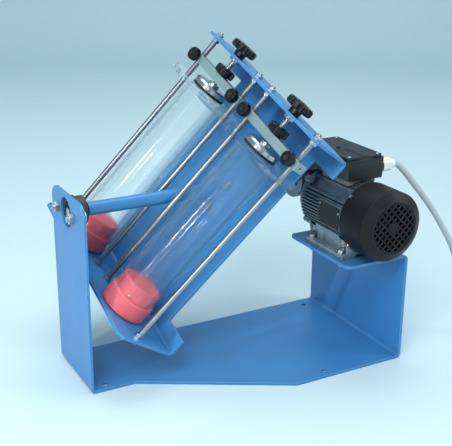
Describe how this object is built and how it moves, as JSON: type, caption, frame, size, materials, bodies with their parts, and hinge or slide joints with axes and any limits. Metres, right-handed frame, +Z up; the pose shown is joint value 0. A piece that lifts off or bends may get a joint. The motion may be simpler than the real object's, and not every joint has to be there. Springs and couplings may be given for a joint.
{
  "type": "tube rotator",
  "caption": "Bench rotator that tumbles clamped glass tubes end over end on an inclined carrier, driven by a small geared motor.",
  "frame": {"origin": "underside of the base plate, straight below the turning axis, midway between the uprights' outer faces", "axes": "+X along the turning axis from the bearing to the motor, +Y to the straight back edge of the base, +Z up"},
  "size_m": [0.71, 0.5363, 0.4542],
  "materials": {
    "blue_paint": "satin powder coat",
    "grey_paint": "satin paint",
    "black_paint": "satin paint",
    "stainless": "brushed",
    "bright_steel": "turned",
    "zinc": "zinc plated",
    "cast_housing": "painted casting",
    "bar_alloy": "anodised, grey-green",
    "hub_alloy": "machined",
    "knob_plastic": "moulded",
    "box_plastic": "moulded",
    "gland_plastic": "moulded",
    "fan_plastic": "moulded",
    "red_rubber": "soft rubber",
    "black_rubber": "soft rubber",
    "glass": "clear",
    "acrylic": "clear acrylic",
    "bronze": "machined",
    "windings": "varnished",
    "laminations": "stacked sheet",
    "lead_jacket": "soft jacket"
  },
  "bodies": {
    "frame": {"base_frame": "blue_paint", "bearing_housing": "cast_housing", "bearing_outer_ring": "bright_steel", "bearing_balls": "bright_steel", "bearing_bolts": "zinc", "gearbox_housing": "grey_paint", "gearbox_cover": "grey_paint", "gearbox_screws": "zinc", "motor_shield": "grey_paint", "motor_body": "grey_paint", "stator": "windings", "motor_foot": "grey_paint", "foot_bolts": "zinc", "fan_cover": "black_paint", "fan_cover_screws": "zinc", "box_pedestal": "box_plastic", "terminal_box": "box_plastic", "terminal_lid": "box_plastic", "lid_screws": "zinc", "gland_body": "gland_plastic", "gland_nut": "gland_plastic", "mains_lead": "lead_jacket", "lead_coil": "lead_jacket", "mains_plug": "knob_plastic"},
    "carrier": {"bearing_inner_ring": "bright_steel", "shaft_collar": "black_rubber", "journal": "bright_steel", "shaft_tube": "blue_paint", "carrier_frame": "blue_paint", "drive_hub": "hub_alloy", "hub_screws": "zinc", "guide_rods": "stainless", "rod_nuts": "stainless", "spindle_bushes": "stainless", "glass_tube_1": "glass", "glass_tube_2": "glass", "stopper_1": "red_rubber", "stopper_2": "red_rubber", "guide_plate_1": "acrylic", "guide_plate_2": "acrylic", "worm_wheel": "bronze"},
    "rotor": {"rotor_core": "laminations", "worm_shaft": "bright_steel", "cooling_fan": "fan_plastic"},
    "clamp_1": {"clamp_bar_1": "bar_alloy"},
    "lock_1": {"lock_knob_1": "knob_plastic"},
    "thumb_1": {"thumb_screw_1": "knob_plastic"},
    "thumb_2": {"thumb_screw_2": "knob_plastic"},
    "press_1": {"lid_1": "stainless", "lid_seal_1": "black_rubber"},
    "screw_1": {"spindle_1": "stainless", "star_knob_1": "knob_plastic"},
    "clamp_2": {"clamp_bar_2": "bar_alloy"},
    "lock_2": {"lock_knob_2": "knob_plastic"},
    "thumb_3": {"thumb_screw_3": "knob_plastic"},
    "thumb_4": {"thumb_screw_4": "knob_plastic"},
    "press_2": {"lid_2": "stainless", "lid_seal_2": "black_rubber"},
    "screw_2": {"spindle_2": "stainless", "star_knob_2": "knob_plastic"}
  },
  "joints": [
    {"name": "carrier_spin", "type": "hinge", "parent": "frame", "child": "carrier", "pos_m": [0, 0, 0.241], "axis": [1, 0, 0], "continuous": true},
    {"name": "rotor_spin", "type": "hinge", "parent": "frame", "child": "rotor", "pos_m": [0.167, 0, 0.22], "axis": [0, 1, 0], "continuous": true},
    {"name": "clamp_slide_1", "type": "slide", "parent": "carrier", "child": "clamp_1", "axis": [0.5878, -0.2701, 0.7626], "range_m": [0, 0.012]},
    {"name": "lock_turn_1", "type": "hinge", "parent": "clamp_1", "child": "lock_1", "pos_m": [0.03263, 0.02546, 0.40278], "axis": [0.5878, -0.2701, 0.7626], "range_deg": [0, 360]},
    {"name": "thumb_turn_1", "type": "hinge", "parent": "clamp_1", "child": "thumb_1", "pos_m": [0.01263, 0.08212, 0.42252], "axis": [-0.809, -0.1962, 0.5541], "range_deg": [0, 360]},
    {"name": "thumb_turn_2", "type": "hinge", "parent": "clamp_1", "child": "thumb_2", "pos_m": [0.01263, -0.031, 0.38247], "axis": [-0.809, -0.1962, 0.5541], "range_deg": [0, 360]},
    {"name": "lid_lift_1", "type": "slide", "parent": "carrier", "child": "press_1", "axis": [0.5878, -0.2701, 0.7626], "range_m": [0, 0.0025]},
    {"name": "star_turn_1", "type": "hinge", "parent": "press_1", "child": "screw_1", "pos_m": [0.0485, 0.01816, 0.42337], "axis": [0.5878, -0.2701, 0.7626], "range_deg": [0, 720]},
    {"name": "clamp_slide_2", "type": "slide", "parent": "carrier", "child": "clamp_2", "axis": [0.5878, -0.2701, 0.7626], "range_m": [0, 0.012]},
    {"name": "lock_turn_2", "type": "hinge", "parent": "clamp_2", "child": "lock_2", "pos_m": [0.03263, -0.1216, 0.35071], "axis": [0.5878, -0.2701, 0.7626], "range_deg": [0, 360]},
    {"name": "thumb_turn_3", "type": "hinge", "parent": "clamp_2", "child": "thumb_3", "pos_m": [0.01263, -0.06494, 0.37045], "axis": [-0.809, -0.1962, 0.5541], "range_deg": [0, 360]},
    {"name": "thumb_turn_4", "type": "hinge", "parent": "clamp_2", "child": "thumb_4", "pos_m": [0.01263, -0.17805, 0.33039], "axis": [-0.809, -0.1962, 0.5541], "range_deg": [0, 360]},
    {"name": "lid_lift_2", "type": "slide", "parent": "carrier", "child": "press_2", "axis": [0.5878, -0.2701, 0.7626], "range_m": [0, 0.0025]},
    {"name": "star_turn_2", "type": "hinge", "parent": "press_2", "child": "screw_2", "pos_m": [0.0485, -0.12889, 0.3713], "axis": [0.5878, -0.2701, 0.7626], "range_deg": [0, 720]}
  ],
  "couplings": [
    {"joint": "rotor_spin", "follows": "carrier_spin", "ratio": 30},
    {"joint": "star_turn_1", "follows": "lid_lift_1", "rad_per_m": 5026.5},
    {"joint": "star_turn_2", "follows": "lid_lift_2", "rad_per_m": 5026.5}
  ]
}
